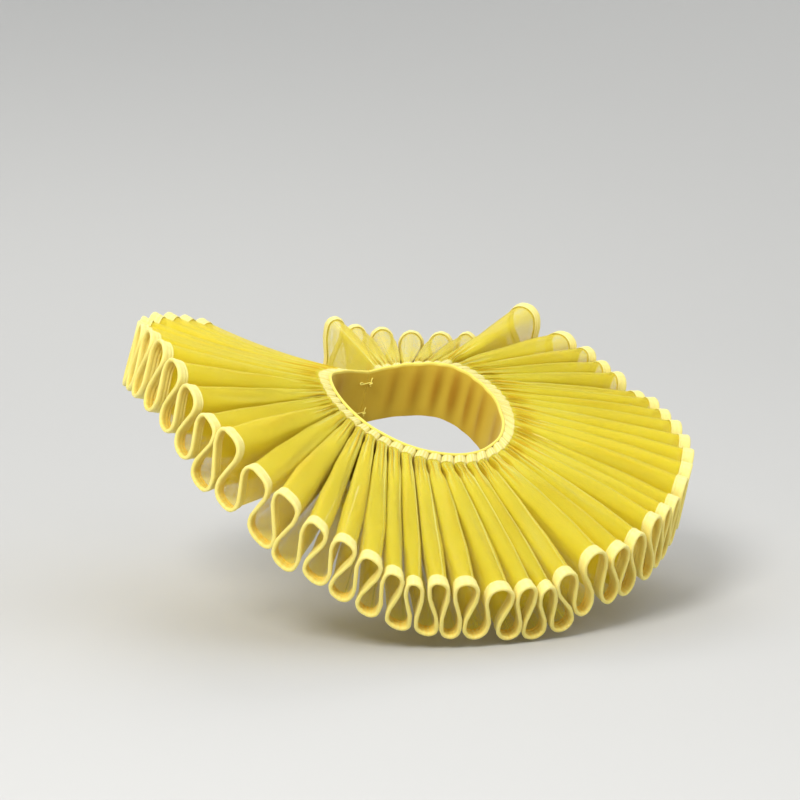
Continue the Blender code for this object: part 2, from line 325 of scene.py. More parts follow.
chart = np.array(foldChart)
crests = chart[:, :2]
outer = np.concatenate([[2 * crests[0] - crests[1]], crests, [2 * crests[-1] - crests[-2]]])
troughs = (outer[1:] + outer[:-1]) / 2
troughs[:-1, 0] += chart[:, 2]
directions = np.empty((len(turns), 2))
directions[1::2], directions[0::2] = crests, troughs

rulings = ray(directions[:, 0], directions[:, 1])
edge = neckRing(seamHeading) + ruff["depth"] * rulings
edgeLine = eased(edge)
edgeLean = edge - edgeLine
edgeRun = runAlong(edgeLine)
edgeUp = unit(np.cross(eased(rulings), np.gradient(edgeLine, edgeRun, axis=0)))
edgeUp *= np.sign(edgeUp[:, 2:])
halfLoop = ruff["loopHeight"] / 2 * np.array([tallLoops.get(t / 2 + 0.5, 1.0) for t in turns])
loopHeights = halfLoop[1:] + halfLoop[:-1]
room = (edgeRun[3:] - edgeRun[:-3]) / 3
room = room[[0, *range(len(room)), -1]] / loopHeights
loopFullness = np.clip(
    (room - ruff["straightShare"]) / (ruff["roundShare"] - ruff["straightShare"]), 0, 1)
neckRun = runAlong(neckRing(seamHeading))


def foldEdges(turn, shares):
    # neck-edge and outer-edge points of the cloth between one turn and the next
    high, low = side[turn] * halfLoop[turn], side[turn + 1] * halfLoop[turn + 1]
    spacing = edgeRun[turn + 1] - edgeRun[turn]
    fullness = loopFullness[turn]
    run, drop = fullness * np.array(swingLeg(spacing, loopHeights[turn], shares)) + (
        1 - fullness
    ) * np.array(pleatLeg(spacing, loopHeights[turn], shares))
    place = edgeRun[turn] + run
    drop = drop[:, None]
    outerPoints = (
        smoothCurve(edgeRun, edgeLine, place)
        + unit(smoothCurve(edgeRun, edgeUp, place)) * (high + (low - high) * drop)
        + edgeLean[turn] * (1 - drop)
        + edgeLean[turn + 1] * drop
    )
    spacing = neckRun[turn + 1] - neckRun[turn]
    run, drop = pleatLeg(spacing, ruff["pleatHeight"], shares)
    heading = np.interp(neckRun[turn] + run, neckRun, seamHeading)
    climb = side[turn] * ruff["pleatHeight"] * (0.5 - drop)
    return neckRing(heading) + climb[:, None] * neckUp, outerPoints


def stripEdges(places):
    # neck-edge and outer-edge points at places along the strip, in turns
    places = np.clip(places, 0, turns[-1])
    legs = np.minimum(places.astype(int), turns[-2])
    made = [foldEdges(leg, places[legs == leg] - leg) for leg in np.unique(legs)]
    return [np.concatenate(points) for points in zip(*made)]


neckLine = neckRing(seamHeading)
neckTangent = unit(np.gradient(neckLine, axis=0))
edgeTangent = unit(np.gradient(edgeLine, axis=0))
chance = np.random.default_rng(slits["seed"])
slitMiddle = slits["middle"] + slits["uneven"] * chance.uniform(-1, 1, len(turns))
slitHalf = slits["half"] * chance.uniform(*slits["halfUneven"], len(turns))
headRise = headShape["uneven"] * chance.uniform(-1, 1, len(turns))
slitSides = [
    (at, stripEdges(turns[1:-1] - 1 + at), stripEdges(turns[1:-1] + 1 - at))
    for at in slits["measuredAt"]
]


def slitOpen(depth):
    # 0 where the folds close over a slit, up to 1 where the pleats part under the tape
    lens = np.clip(1 - ((depth - slitMiddle) / slitHalf) ** 2, 0, 1)
    return lens * np.interp(turns / 2 + 0.5, *zip(*parting))


def swingRoom(depth):
    # how far both sides of each slit swing out at this distance from the neck seam
    share = depth / ruff["depth"]
    table = np.array(closing)
    filled, touch, most = (np.interp(depth, table[:, 0], table[:, i]) for i in (1, 2, 3))
    room = np.full(len(turns) - 2, most)
    for at, left, right in slitSides:
        apart = (right[0] - left[0]) * (1 - share) + (right[1] - left[1]) * share
        apart = np.linalg.norm(apart, axis=1) - touch
        room = np.minimum(room, apart / (2 * sin(2 * pi * at)))
    return np.pad(np.maximum(room, 0), 1) * filled * (1 - slitOpen(depth))


def foldedLine(edges, places, depth):
    # the cloth's middle at one distance out, its sides swung over the slits next to them
    share = depth / ruff["depth"]
    at = np.clip(places, 0, turns[-1])
    turn = np.minimum(at.astype(int), turns[-2])
    within = at - turn
    swing = swingRoom(depth)[turn + (within < 0.5)] * np.sin(2 * pi * within)
    slant = max(0.0, 1 - depth / headShape["slantReach"])
    swing += np.interp(at / 2 + 0.5, *zip(*headLean)) * slant
    tangent = smoothCurve(turns, neckTangent * (1 - share) + edgeTangent * share, at)
    rise = np.interp(at, turns, headRise) * max(0.0, 1 - depth / headShape["riseReach"])
    bow = np.interp(at / 2 + 0.5, *zip(*clothBow)) * 4 * share * (1 - share)
    return (
        edges[0] * (1 - share) + edges[1] * share + tangent * swing[:, None]
        + neckUp * rise[:, None] + smoothCurve(turns, edgeUp, at) * bow[:, None]
    )


def foldedRows(places, depths):
    # rows of points at distances out from the neck seam, and their normals
    here = stripEdges(places)
    step = ruff["normalStep"]
    beside = [(p, stripEdges(p)) for p in (places - step, places + step)]
    rows, normals = [], []
    for depth in np.asarray(depths):
        behind, ahead = (foldedLine(edges, p, depth) for p, edges in beside)
        rows.append(foldedLine(here, places, depth))
        normals.append(unit(np.cross(ahead - behind, here[1] - here[0])))
    return np.array(rows), np.array(normals)


def besideCrease(places, row):
    # each point's distance along the cloth from the nearest pressed crease, longer where it is faint
    run = runAlong(row)
    creases = turns + ruff["creasePast"]
    creases = creases[(creases >= places[0]) & (creases <= places[-1])]
    plain = np.interp(places / 2 + 0.5, *zip(*pressed))
    return np.abs(run[:, None] - np.interp(creases, places, run)).min(axis=1) / plain


seams = np.round(np.linspace(0, 2 * ruff["folds"], ruff["widths"] + 1))
seams[1:-1] += 0.5              # half way down a leg, where the cloth runs straight


def placesOf(width, columnsPerFold):
    # where one width's columns stand, in turns, closer together round each turn
    first, last = seams[width], seams[width + 1]
    even = np.linspace(first, last, round((last - first) * columnsPerFold / 2) + 1)
    places = even - ruff["crowding"] * np.sin(2 * pi * even) / (2 * pi)
    places[[0, -1]] += np.array([0.5, -0.5]) * ruff["seamGap"] / ruff["loopHeight"]
    return places


stepsPerTurn = 24
clothRun = runAlong(stripEdges(np.linspace(0, turns[-1], stepsPerTurn * turns[-1] + 1))[1])


def clothLength(places):
    # metres along the strip's outer edge, which is how its weave runs
    return np.interp(places, np.linspace(0, turns[-1], len(clothRun)), clothRun)


print(f"strip is {clothRun[-1]:.2f} m long over {ruff['folds']} folds")

# shader groups

yarn = {                        # how the threads wander, on the cloth's own map in metres
    "wanderScale": 60.0,
    "wander": 0.004,
    "looseScale": 700.0,        # threads drawn closer here, looser there
}
dyePatches = {
    "detail": 4.0,
    "roughness": 0.55,
    "from": 0.32,
    "to": 0.68,
}
clothFinish = {                 # what all the cloths share
    "sheenRoughness": 0.35,
    "glowScale": 0.002,
    "crumpleDetail": 3.0,
    "bumpDistance": 0.001,
}


def newGroup(name, inputs, outputs):
    # sockets by name: a colour where the name ends in colour, a number elsewhere
    group = bpy.data.node_groups.new(name, "ShaderNodeTree")
    for way, titles in (("INPUT", inputs), ("OUTPUT", outputs)):
        for title in titles:
            kind = "NodeSocketColor" if title.lower().endswith("colour") else "NodeSocketFloat"
            group.interface.new_socket(title, in_out=way, socket_type=kind)
    return group, group.nodes.new("NodeGroupInput"), group.nodes.new("NodeGroupOutput")


def feed(tree, sockets, values):
    # each socket gets a link from an output, or else a plain value
    for socket, value in zip(sockets, values):
        if hasattr(value, "is_output"):
            tree.links.new(value, socket)
        else:
            socket.default_value = (*value, 1) if socket.type == "RGBA" else value


def newNode(tree, kind, **values):
    node = tree.nodes.new("ShaderNode" + kind)
    feed(tree, [node.inputs[title] for title in values], values.values())
    return node


def mathNode(tree, operation, *values, clamp=False):
    node = newNode(tree, "Math")
    node.operation, node.use_clamp = operation, clamp
    feed(tree, node.inputs, values)
    return node.outputs[0]


def mixColour(tree, factor, first, second):
    node = newNode(tree, "Mix")
    node.data_type = "RGBA"
    sockets = (node.inputs[0], node.inputs[6], node.inputs[7])     # the factor and both colours
    feed(tree, sockets, (factor, first, second))
    return node.outputs[2]


def rampBetween(tree, value, low, high):
    node = newNode(tree, "MapRange")
    node.interpolation_type = "SMOOTHSTEP"
    feed(tree, node.inputs, (value, low, high))
    return node.outputs["Result"]


def clothPlace(tree):
    # metres along and across the cloth
    node = newNode(tree, "UVMap")
    node.uv_map = "cloth"
    return node.outputs["UV"]


def threadsGroup():
    # crossing threads laid on the cloth's own map, straight or on the cross
    tree, start, end = newGroup("threads", ["Spacing", "On the cross"],
                                ["Hole", "Grain", "Out from the seam"])
    place = clothPlace(tree)
    split = newNode(tree, "SeparateXYZ", Vector=place)
    wander = newNode(tree, "TexNoise", Vector=place, Scale=yarn["wanderScale"], Detail=1.0)
    shift = mathNode(tree, "MULTIPLY", wander.outputs["Fac"], yarn["wander"])
    u, v = mathNode(tree, "ADD", split.outputs[0], shift), split.outputs[1]
    cross = start.outputs["On the cross"]
    first = mathNode(tree, "ADD", u, mathNode(tree, "MULTIPLY", v, cross))
    second = mathNode(tree, "SUBTRACT", v, mathNode(tree, "MULTIPLY", u, cross))
    waves = []
    for value in (first, second):
        turn = mathNode(tree, "DIVIDE", mathNode(tree, "MULTIPLY", value, pi), start.outputs["Spacing"])
        waves.append(mathNode(tree, "ABSOLUTE", mathNode(tree, "SINE", turn)))
    loose = newNode(tree, "TexNoise", Vector=place, Scale=yarn["looseScale"], Detail=1.0)
    grain = mathNode(tree, "SUBTRACT", loose.outputs["Fac"], 0.5)
    feed(tree, end.inputs, (mathNode(tree, "MULTIPLY", *waves), grain, split.outputs[1]))
    return tree


def unevenGroup():
    # slow changes of tone over the cloth, from dye, handling and the way it was pressed
    tree, start, end = newGroup("unevenDye", ["Colour", "Deep colour", "Scale", "Amount"], ["Colour"])
    place = newNode(tree, "TexCoord").outputs["Object"]
    patches = newNode(tree, "TexNoise", Vector=place, Scale=start.outputs["Scale"],
                      Detail=dyePatches["detail"], Roughness=dyePatches["roughness"])
    value = rampBetween(tree, patches.outputs["Fac"], dyePatches["from"], dyePatches["to"])
    amount = mathNode(tree, "MULTIPLY", value, start.outputs["Amount"])
    feed(tree, end.inputs, [mixColour(tree, amount, *start.outputs[:2])])
    return tree


def paintedLightGroup():
    # painted shade with an orange glow in the hollows of the cloth, and painted highlights on its ridges
    # and along its pressed crease lines, as its mesh says
    tree, start, end = newGroup(
        "paintedLight", ["Colour", "Painted shade colour", "Painted highlight colour", "Crease width"], ["Colour", "Crease"])
    paintedTone, near = newNode(tree, "Attribute"), newNode(tree, "Attribute")
    paintedTone.attribute_name, near.attribute_name = "paintedLight", "besideCrease"
    away = mathNode(tree, "DIVIDE", near.outputs["Fac"], start.outputs["Crease width"])
    crease = mathNode(tree, "SUBTRACT", 1.0, rampBetween(tree, away, 0.3, 1.0))     # soft at its sides
    # a tone below 0 mixes in painted shade, a tone above 0 a painted highlight; a crease line is painted
    # as a highlight too
    hollow = mathNode(tree, "MULTIPLY", paintedTone.outputs["Fac"], -1.0, clamp=True)
    raised = mathNode(tree, "MULTIPLY", paintedTone.outputs["Fac"], 1.0, clamp=True)
    ridge = mathNode(tree, "MAXIMUM", raised, crease)
    deep = mixColour(tree, hollow, start.outputs["Colour"], start.outputs["Painted shade colour"])
    pale = mixColour(tree, ridge, deep, start.outputs["Painted highlight colour"])
    feed(tree, end.inputs, (pale, crease))
    return tree


threads = threadsGroup()
unevenDye = unevenGroup()
paintedLight = paintedLightGroup()


def placeGroup(tree, group, *values):
    node = newNode(tree, "Group")
    node.node_tree = group
    feed(tree, node.inputs, values)
    return node


def clothColour(tree, look, weave):
    # the dye, deeper in the holes of the weave, with painted shade in the folds' hollows and painted
    # highlights on their ridges and crease lines; also how creased the cloth is
    dye = placeGroup(tree, unevenDye, look["colour"], look["deepColour"],
                     look["patchScale"], look["patchAmount"])
    inHoles = mathNode(tree, "MULTIPLY", weave.outputs["Hole"], look["weaveShade"])
    colour = mixColour(tree, inHoles, dye.outputs["Colour"], look["gapColour"])
    paintedTone = placeGroup(tree, paintedLight, colour, look["paintedShadeColour"], look["paintedHighlightColour"],
                      look["creaseWidth"])
    return paintedTone.outputs["Colour"], paintedTone.outputs["Crease"]


def clothBump(tree, look, weave):
    # threads that stand over their holes, and fine crumples
    threadHeight = mathNode(tree, "SUBTRACT", 1.0, weave.outputs["Hole"])
    stretch = newNode(tree, "Mapping", Vector=clothPlace(tree), Scale=look["crumpleScale"])
    crumple = newNode(tree, "TexNoise", Vector=stretch.outputs["Vector"], Scale=1.0,
                      Detail=clothFinish["crumpleDetail"])
    total = mathNode(tree, "ADD", mathNode(tree, "MULTIPLY", threadHeight, look["weaveHeight"]),
                     mathNode(tree, "MULTIPLY", crumple.outputs["Fac"], look["crumpleHeight"]))
    bump = newNode(tree, "Bump", Strength=look["bump"], Distance=clothFinish["bumpDistance"],
                   Height=total)
    return bump.outputs["Normal"]


def netCover(tree, look, weave, crease):
    # 1 on a thread and 0 in a hole: gathers draw the net close by the neck, and it opens further out
    grain = mathNode(tree, "MULTIPLY", weave.outputs["Grain"], look["grain"])
    opened = rampBetween(tree, weave.outputs["Out from the seam"], *look["drawnOver"])
    drawn = mathNode(tree, "SUBTRACT", look["drawnClose"],
                     mathNode(tree, "MULTIPLY", opened, look["drawnClose"]))
    size = mathNode(tree, "SUBTRACT", mathNode(tree, "ADD", weave.outputs["Hole"], grain), drawn)
    hole = rampBetween(tree, size, *look["holeEdge"])
    kept = mathNode(tree, "SUBTRACT", look["open"],
                    mathNode(tree, "MULTIPLY", crease, look["creaseClosed"]))
    return mathNode(tree, "SUBTRACT", 1.0, mathNode(tree, "MULTIPLY", hole, kept))


def clothShader(name, look):
    # one cloth: dye, weave and crumple, lit through from behind
    material = bpy.data.materials.new(name)
    material.use_nodes = True
    tree = material.node_tree
    weave = placeGroup(tree, threads, look["threadSpacing"], look["onTheCross"])
    colour, crease = clothColour(tree, look, weave)
    settings = {
        "Base Color": colour, "Normal": clothBump(tree, look, weave), "Roughness": look["roughness"],
        "Specular IOR Level": look["gloss"], "Sheen Weight": look["sheen"],
        "Sheen Tint": look["sheenTint"], "Sheen Roughness": clothFinish["sheenRoughness"],
        "Subsurface Weight": look["glow"], "Subsurface Radius": look["glowRadius"],
        "Subsurface Scale": clothFinish["glowScale"],
    }
    if look["open"]:
        settings["Alpha"] = netCover(tree, look, weave, crease)
    shader = tree.nodes["Principled BSDF"]
    feed(tree, [shader.inputs[title] for title in settings], settings.values())
    return material


# in each look the hollow colour is painted shade with an orange glow, and the ridge colour is a painted
# highlight
netLook = {
    "colour": (1.0, 0.795, 0.045), "deepColour": (0.98, 0.75, 0.03), "gapColour": (0.94, 0.67, 0.015),
    "paintedShadeColour": (0.92, 0.52, 0.01), "paintedHighlightColour": (1.0, 0.90, 0.22), "creaseWidth": 0.0008,
    "patchScale": 30.0, "patchAmount": 0.5,
    "roughness": 0.5, "gloss": 0.2, "sheen": 0.6, "sheenTint": (1.0, 0.90, 0.25),
    "glow": 0.65, "glowRadius": (1.0, 0.9, 0.4),
    "threadSpacing": 0.0010, "onTheCross": 1.0, "weaveShade": 0.5, "weaveHeight": 0.10,
    "crumpleScale": (260.0, 16.0, 1.0), "crumpleHeight": 0.5, "bump": 0.6,
    "open": 1.0, "holeEdge": (0.22, 0.40), "grain": 0.35, "creaseClosed": 0.8,
    "drawnClose": 0.25, "drawnOver": (0.015, 0.085),
}
tapeLook = {
    "colour": (0.92, 0.78, 0.23), "deepColour": (0.90, 0.74, 0.17), "gapColour": (0.87, 0.67, 0.10),
    "paintedShadeColour": (0.90, 0.54, 0.02), "paintedHighlightColour": (0.95, 0.85, 0.34), "creaseWidth": 0.0001,
    "patchScale": 60.0, "patchAmount": 0.5,
    "roughness": 0.55, "gloss": 0.3, "sheen": 0.2, "sheenTint": (1.0, 0.95, 0.5),
    "glow": 0.25, "glowRadius": (1.0, 0.8, 0.3),
    "threadSpacing": 0.0006, "onTheCross": 1.0, "weaveShade": 0.25, "weaveHeight": 0.08,
    "crumpleScale": (420.0, 90.0, 1.0), "crumpleHeight": 0.35, "bump": 0.6,
    "open": 0.0,
}
headLook = {**tapeLook, "crumpleScale": (600.0, 260.0, 1.0), "crumpleHeight": 0.9, "bump": 0.9}
# the band's hollow colour is the painted shade inside it, and its ridge colour is the painted highlight
# on its outer face and rim
bandLook = {
    "colour": (0.88, 0.71, 0.08), "deepColour": (0.80, 0.57, 0.05), "gapColour": (0.64, 0.42, 0.03),
    "paintedShadeColour": (0.42, 0.22, 0.01), "paintedHighlightColour": (0.97, 0.87, 0.20), "creaseWidth": 0.0001,
    "patchScale": 22.0, "patchAmount": 0.7,
    "roughness": 0.7, "gloss": 0.25, "sheen": 0.3, "sheenTint": (1.0, 0.92, 0.6),
    "glow": 0.1, "glowRadius": (1.0, 0.8, 0.3),
    "threadSpacing": 0.0008, "onTheCross": 0.0, "weaveShade": 0.35, "weaveHeight": 0.15,
    "crumpleScale": (60.0, 60.0, 1.0), "crumpleHeight": 0.6, "bump": 0.6,
    "open": 0.0,
}
netMaterial = clothShader("yellowNet", netLook)
tapeMaterial = clothShader("paleTape", tapeLook)
headMaterial = clothShader("pleatedTape", headLook)
bandMaterial = clothShader("goldLinen", bandLook)
print("cloths dyed")

# cloth pieces

sharpAngle = radians(60)


def sheetMesh(name, rings, lengths, widths, material, paintedTones=0.0, creases=1.0):
    # rings[i] is one line of points along the cloth; consecutive rings go round its wall
    count, columns = len(rings), len(rings[0])
    body = bmesh.new()
    clothMap = body.loops.layers.uv.new("cloth")
    grid = [[body.verts.new(point) for point in ring] for ring in rings]
    for i in range(count):
        j = (i + 1) % count
        for k in range(columns - 1):
            face = body.faces.new((grid[i][k], grid[i][k + 1], grid[j][k + 1], grid[j][k]))
            corners = ((lengths[k], widths[i]), (lengths[k + 1], widths[i]),
                       (lengths[k + 1], widths[i + 1]), (lengths[k], widths[i + 1]))
            for loop, corner in zip(face.loops, corners):
                loop[clothMap].uv = corner
    for end in (0, -1):
        face = body.faces.new([grid[i][end] for i in range(count)])
        for loop, i in zip(face.loops, range(count)):
            loop[clothMap].uv = (lengths[end], widths[i])
    bmesh.ops.recalc_face_normals(body, faces=body.faces)
    mesh = bpy.data.meshes.new(name)
    body.to_mesh(mesh)
    body.free()
    # each point's painted shade and highlight tone, and its distance from a crease line
    for title, values in (("paintedLight", paintedTones), ("besideCrease", creases)):
        layer = mesh.attributes.new(title, "FLOAT", "POINT")
        layer.data.foreach_set("value", np.broadcast_to(values, (count, columns)).ravel())
    mesh.shade_smooth()
    mesh.set_sharp_from_angle(angle=sharpAngle)
    mesh.materials.append(material)
    return placeObject(name, mesh)


net = {
    "wall": 0.0003,
    "from": 0.0072,             # tucked inside the neck tape
    "to": 0.1476,               # tucked inside the edge binding
    "columnsPerFold": 80,
    "spans": 26,
    "nearNeck": 1.7,            # spans crowd towards the neck, where the gathers are
    "gatherFrom": 0.0095,
    "gatherTo": 0.048,
    "gatherStart": 0.003,       # distance over which the gathers come up
    "gatherHeight": 0.00135,
    "gathersPerTurn": 6.2,
    "gatherFocus": 1.5,         # how much they keep to the turns of a fold
    "gatherMean": 0.75,         # their usual height, as a share of gatherHeight
    # painted highlight on the gathers' ridges and painted shade between them
    "gatherPaintedLight": 2.0,
    "creasePaintedLight": 150,          # painted highlight on raised hand creases and painted shade in sunken ones, for a metre of height
    "drapeHeight": 0.00045,
}
gatherWaves = {                 # size, radians for a turn, start; none keeps step with the folds
    "reach": ((0.008, 2.9, 0), (0.005, 7.7, 2)),
    "drift": ((0.6, 1.7, 1), (0.5, 4.3, 0)),
    "height": ((0.35, 5.1, 0.5), (0.25, 11.3, 0)),
    "section": ((0.75, 2 * pi, 0), (0.45, 3.4 * pi, 1)),
}
drapeWaves = (                  # size, waves to a turn, slant; then size, radians and start of a drift
    (0.6, 1.63, 0.5, 1.5, 0.9, 0), (0.4, 2.71, -0.9, 2.0, 1.3, 2),
)
netCreases = (                  # fold, from and to out from the seam, drift in folds, width, height
    (2.06, 0.03, 0.12, 0.05, 0.0035, 0.001), (4.92, 0.025, 0.11, -0.06, 0.003, -0.0011),
    (7.08, 0.04, 0.135, 0.04, 0.004, 0.0012), (9.94, 0.03, 0.1, 0.08, 0.0035, -0.0012),
    (11.1, 0.05, 0.14, -0.05, 0.003, 0.0013), (12.95, 0.03, 0.125, 0.08, 0.004, -0.0014),
    (14.06, 0.035, 0.14, 0.06, 0.0032, 0.0014), (14.93, 0.06, 0.14, -0.04, 0.0045, -0.0012),
    (16.04, 0.028, 0.12, 0.09, 0.003, 0.0013), (17.08, 0.045, 0.138, -0.07, 0.0036, -0.0014),
    (18.02, 0.025, 0.09, 0.07, 0.0028, 0.0012), (19.06, 0.04, 0.138, 0.05, 0.004, 0.0015),
    (19.96, 0.03, 0.11, -0.05, 0.003, -0.0012), (21.02, 0.045, 0.13, 0.08, 0.0034, 0.0013),
    (22.05, 0.025, 0.095, -0.06, 0.0028, -0.001), (23.00, 0.05, 0.138, 0.07, 0.0034, 0.0012),
    (24.97, 0.03, 0.105, 0.06, 0.0028, -0.0011), (26.03, 0.06, 0.138, -0.06, 0.004, 0.0013),
    (27.94, 0.035, 0.12, 0.09, 0.003, -0.0012), (29.02, 0.045, 0.13, -0.05, 0.0034, 0.0012),
    (30.96, 0.03, 0.11, 0.05, 0.003, 0.001), (33.02, 0.05, 0.135, -0.08, 0.004, -0.0013),
    (35.04, 0.025, 0.105, 0.06, 0.003, 0.001), (37.95, 0.04, 0.13, 0.06, 0.0036, -0.0012),
    (40.03, 0.03, 0.12, -0.05, 0.003, 0.0011), (42.94, 0.045, 0.135, 0.07, 0.0038, -0.0012),
    (45.06, 0.03, 0.138, 0.04, 0.004, 0.0014), (46.97, 0.04, 0.12, -0.06, 0.0032, -0.0011),
    (49.03, 0.03, 0.13, 0.06, 0.0034, 0.0012), (51.04, 0.045, 0.13, -0.05, 0.0034, -0.001),
)


def handCreases(places, row, depth):
    # long soft ridges and troughs that the cloth keeps from being worn and put away
    run = runAlong(row)
    height = np.zeros(len(places))
    for fold, start, stop, drift, width, rise in netCreases:
        share = (depth - start) / (stop - start)
        middle = 2 * (fold + drift * share) - 1
        if 0 < share < 1 and places[0] < middle < places[-1]:
            away = (run - np.interp(middle, places, run)) / width
            height += rise * sin(pi * share) * np.exp(-(away**2))
    return height


def addWaves(base, at, waves):
    return sum((size * np.sin(pace * at + start) for size, pace, start in waves), base)


def gathers(places, depth):
    # fine puckers that run out from under the neck tape and die away in the fold, about -1 to 1
    reach = addWaves(net["gatherTo"], places, gatherWaves["reach"])
    start = np.clip((depth - net["gatherFrom"]) / net["gatherStart"], 0, 1)
    fade = np.clip((reach - depth) / (reach - net["gatherFrom"]), 0, 1)
    turn = addWaves(net["gathersPerTurn"] * places, places, gatherWaves["drift"])
    height = addWaves(net["gatherMean"], places, gatherWaves["height"])
    return start * fade * height * addWaves(0, turn, gatherWaves["section"])


def drape(places, depth):
    # long soft hollows along the folds
    share = depth / ruff["depth"]
    waves = 0
    for size, pace, slant, *drift in drapeWaves:
        turn = 2 * pi * (pace * places + slant * share)
        waves += size * np.sin(addWaves(turn, places, [drift]))
    return net["drapeHeight"] * np.sin(pi * share) * waves


def netWidth(width):
    places = placesOf(width, net["columnsPerFold"])
    shares = np.linspace(0, 1, net["spans"] + 1) ** net["nearNeck"]
    depths = net["from"] + (net["to"] - net["from"]) * shares
    rows, normals = foldedRows(places, depths)
    nearTurn = np.cos(pi * places) ** 2         # 1 on a fold's turns, 0 half way down its side
    paintedTones, creases = [], []
    for row, normal, depth in zip(rows, normals, depths):
        pucker = gathers(places, depth) * nearTurn ** net["gatherFocus"]
        crease = handCreases(places, row, depth)
        height = net["gatherHeight"] * pucker + drape(places, depth)
        row += normal * (height + crease)[:, None]
        slit = np.interp(places, turns, slitOpen(depth)) * (1 - nearTurn)
        # painted highlight on gather ridges and raised creases, and painted shade between the gathers, in
        # sunken creases and on the fold sides round the slits
        paintedTone = net["gatherPaintedLight"] * pucker + net["creasePaintedLight"] * crease - slit
        paintedTones.append(np.clip(paintedTone, -1, 1))
        creases.append(besideCrease(places, row))
    wall = normals * net["wall"] / 2
    rings = np.concatenate([rows + wall, (rows - wall)[::-1]])
    across = np.concatenate([depths, depths[::-1], depths[:1]])
    bothSides = [np.concatenate([one, one[::-1]]) for one in (paintedTones, creases)]
    name = f"netWidth{width + 1}"
    return sheetMesh(name, rings, clothLength(places), across, netMaterial, *bothSides)


binding = {                     # a folded tape's section: distance in from the rim, height off the net
    "outside": ((0.009, 0.00055), (0.0089, 0.00088), (0.0083, 0.00098), (0.0078, 0.0009),
                (0.0074, 0.00055), (0.007, 0.00092), (0.006, 0.00108), (0.0048, 0.00112),
                (0.0043, 0.00094), (0.0038, 0.00118), (0.0028, 0.00136), (0.0016, 0.00142),
                (0.0007, 0.00124), (0.0002, 0.0008)),
    "inside": ((0.001, 0.00012), (0.0018, 0.0003), (0.005, 0.00034), (0.0088, 0.0003)),
    "columnsPerFold": 52,
    "pucker": 0.14,             # uneven thickness, as a share of it
    "between": 0.0,             # how deep the painted shade goes down a fold's side, between the heads
    "paintedFacetLight": 0.15,             # painted highlight and shade from one small crumple to the next
}
neckTape = {
    "outside": ((0.009, 0.0004), (0.0088, 0.00052), (0.0078, 0.00056), (0.006, 0.00058),
                (0.004, 0.00058), (0.0022, 0.00054), (0.0008, 0.00042), (0.00015, 0.00022)),
    "inside": ((0.001, 0.00008), (0.002, 0.00018), (0.005, 0.0002), (0.0088, 0.00018)),
    "columnsPerFold": 50,
    "pucker": 0.60,
    "between": 0.9,
    "paintedFacetLight": 0.9,
    "start": 0.0001,            # its fold's distance out from the seam
}
tapeCloth = {                   # what both tapes share
    "width": 0.009,
    "core": 0.0008,             # in from the rim, where the tape's two inner faces meet
    "thickWaves": (33.7, 3.1, 71.3),    # along the tape, in radians a turn: long, drift, short
    "acrossWaves": 900,         # across it, in radians a metre
    "facetsPerTurn": 9,
    "facetDrift": 3.7,
    "hollowPaintedShade": (0.1, 0.8),   # painted shade with an orange glow in a hollow, at the rim and how much more at its inner edge
    # painted highlight on the outer side of a turn
    "ridgePaintedHighlight": 0.6,
}
wrapSeam = 0.0005               # cloth map left between a section's last point and its first


def foldedTape(name, width, section, rim, outwards, material):
    # a tape folded over an edge of the net: rim is its fold's place, outwards +1 or -1
    places = placesOf(width, section["columnsPerFold"])
    over = np.array(section["outside"])
    under = np.array(section["inside"])
    loop = np.concatenate([
        over, [[0.0, 0.0]], over[::-1] * (1, -1),
        under[::-1] * (1, -1), [[tapeCloth["core"], 0.0]], under,
    ])
    depths = rim - outwards * loop[:, 0]
    rows, normals = foldedRows(places, depths)
    long, drift, short = tapeCloth["thickWaves"]
    waves = 0.6 * np.sin(long * places + 2 * np.sin(drift * places)) + 0.4 * np.sin(short * places)
    ripple = 0.4 + 0.6 * np.sin(tapeCloth["acrossWaves"] * loop[:, :1])
    thick = 1 + section["pucker"] * waves * ripple
    rings = rows + normals * (loop[:, 1:] * thick)[:, :, None]
    across = runAlong(loop)
    across = np.append(across, across[-1] + wrapSeam)
    # painted shade with an orange glow on the hollow side of a turn, a painted highlight on its outer
    # side
    paintedTones = np.sign(loop[:, 1:]) * np.cos(pi * places)
    inward = np.clip(loop[:, :1] / tapeCloth["width"], 0, 1)
    atRim, more = tapeCloth["hollowPaintedShade"]
    paintedTones = np.where(paintedTones < 0, (atRim + more * inward) * paintedTones, tapeCloth["ridgePaintedHighlight"] * paintedTones)
    # painted highlight and shade that change from one small crumple to the next round the turns
    turning = 2 * pi * tapeCloth["facetsPerTurn"] * places
    paintedFacetLight = np.sin(turning + 2 * np.sin(tapeCloth["facetDrift"] * places)) * np.cos(pi * places) ** 2
    # painted shade down the sides of a fold, between the taped heads
    paintedTones += section["paintedFacetLight"] * paintedFacetLight - section["between"] * np.sin(pi * places) ** 4
    return sheetMesh(name, rings, clothLength(places), across, material, np.clip(paintedTones, -1, 1))


stitching = {
    "pitch": 0.0032,
    "length": 0.0022,
    "thickness": 0.00045,
    "uneven": 0.25,
    "seed": 4,
    "edgeLine": (0.0074, 0.00066),      # in from the rim and off the net
    "neckLine": (0.0079, 0.00062),
}
threadLook = {
    **tapeLook, "colour": (0.95, 0.84, 0.22), "deepColour": (0.93, 0.78, 0.16), "threadSpacing": 0.0003,
    "roughness": 0.5, "gloss": 0.45, "glow": 0.0,
}
threadMaterial = clothShader("sewingThread", threadLook)


